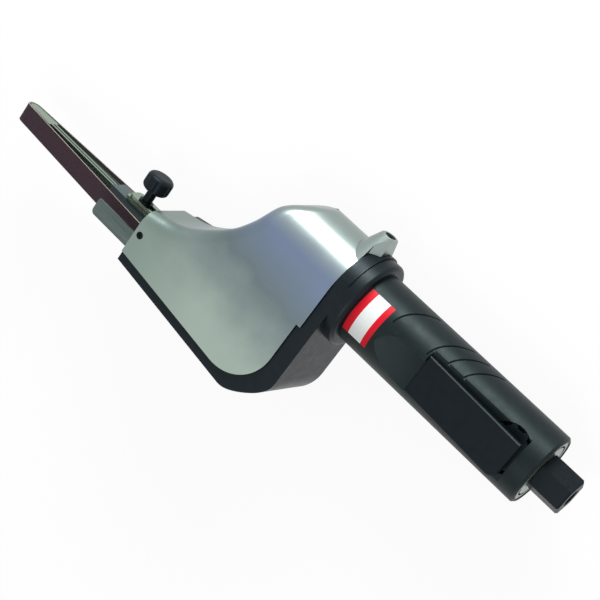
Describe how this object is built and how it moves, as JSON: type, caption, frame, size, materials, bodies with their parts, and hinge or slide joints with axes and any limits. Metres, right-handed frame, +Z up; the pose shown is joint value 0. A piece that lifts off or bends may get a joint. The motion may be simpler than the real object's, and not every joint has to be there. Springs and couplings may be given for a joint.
{
  "type": "offset belt sander",
  "caption": "Pneumatic offset belt sander: lever-throttle handle, right-angle drive housing and a sprung side arm that runs a narrow abrasive belt round a tip idler",
  "frame": {"origin": "centre of the air inlet's outer face", "axes": "+X along the handle from the air inlet to the belt tip, +Z up out of the flat cover, +Y toward the belt side"},
  "size_m": [0.4283, 0.1319, 0.061],
  "materials": {
    "grip_rubber": "satin moulded grip",
    "label": "blank wrap label",
    "cap_alloy": "machined",
    "black_steel": "black oxide",
    "black_alloy": "satin black coat",
    "lever_paint": "satin black",
    "steel": "turned",
    "bearing_steel": "ground",
    "brass": "turned",
    "alloy": "cast",
    "abrasive": "coated abrasive",
    "cover_alloy": "satin cast",
    "guard_steel": "brushed",
    "slate_steel": "dark brushed",
    "vane": "laminate",
    "arm_steel": "bright ground",
    "black_plastic": "moulded"
  },
  "bodies": {
    "housing": {"grip": "grip_rubber", "label_band": "label", "exhaust_cap": "cap_alloy", "inlet_bushing": "black_steel", "collar": "black_alloy", "motor_cylinder": "steel", "rear_end_plate": "steel", "front_end_plate": "steel", "motor_bearings": "bearing_steel", "lever_pin": "bearing_steel", "valve_bushing": "brass", "valve_spring": "steel", "bearing_carrier": "alloy", "cross_bearings": "bearing_steel", "sanding_belt": "abrasive", "belt_cover": "cover_alloy", "clamp_screw": "black_steel", "base_tray": "black_alloy", "belt_guard": "guard_steel", "guard_screw": "black_steel", "arm_bracket": "arm_steel", "tension_spring": "steel"},
    "rotor_unit": {"rotor": "steel", "vanes": "vane", "bevel_pinion": "steel"},
    "drive_unit": {"cross_shaft": "steel", "bevel_gear": "steel", "drive_pulley": "alloy", "pulley_screw": "steel"},
    "arm": {"arm_plate": "arm_steel", "arm_shank": "slate_steel", "arm_bar": "arm_steel", "platen": "slate_steel", "guide_pin": "steel", "idler_axle": "steel"},
    "idler": {"idler_wheel": "bearing_steel", "idler_bearing": "bearing_steel"},
    "knob": {"arm_knob": "black_plastic", "knob_washer": "black_steel"},
    "lever": {"throttle_lever": "lever_paint"},
    "valve": {"valve_stem": "brass"},
    "regulator": {"regulator_dial": "black_plastic"}
  },
  "joints": [
    {"name": "rotor_spin", "type": "hinge", "parent": "housing", "child": "rotor_unit", "pos_m": [0.128, 0, 0], "axis": [1, 0, 0], "continuous": true},
    {"name": "drive_spin", "type": "hinge", "parent": "housing", "child": "drive_unit", "pos_m": [0.21, 0.04, 0], "axis": [0, 1, 0], "continuous": true},
    {"name": "arm_slide", "type": "slide", "parent": "housing", "child": "arm", "axis": [1, 0, 0], "range_m": [-0.006, 0], "stiffness_N_per_m": 1500, "springref_m": 0.004, "deforming": ["tension_spring"]},
    {"name": "idler_spin", "type": "hinge", "parent": "arm", "child": "idler", "pos_m": [0.4227, 0.0635, 0], "axis": [0, 1, 0], "continuous": true},
    {"name": "knob_turn", "type": "hinge", "parent": "arm", "child": "knob", "pos_m": [0.3165, 0.04, 0], "axis": [0, 1, 0], "range_deg": [0, 360]},
    {"name": "lever_press", "type": "hinge", "parent": "housing", "child": "lever", "pos_m": [0.099, 0, 0.0165], "axis": [0, -1, 0], "range_deg": [0, 5], "stiffness_Nm_per_rad": 1, "springref_deg": -3.44, "deforming": ["valve_spring"]},
    {"name": "valve_slide", "type": "slide", "parent": "housing", "child": "valve", "axis": [0, 0, -1], "range_m": [0, 0.0032], "deforming": ["valve_spring"]},
    {"name": "dial_turn", "type": "hinge", "parent": "housing", "child": "regulator", "pos_m": [0.0415, -0.002, 0.016], "axis": [0, 0, 1], "range_deg": [0, 180]}
  ],
  "couplings": [
    {"joint": "drive_spin", "follows": "rotor_spin", "ratio": 1},
    {"joint": "idler_spin", "follows": "rotor_spin", "ratio": 5.3333},
    {"joint": "valve_slide", "follows": "lever_press", "m_per_rad": 0.035}
  ]
}
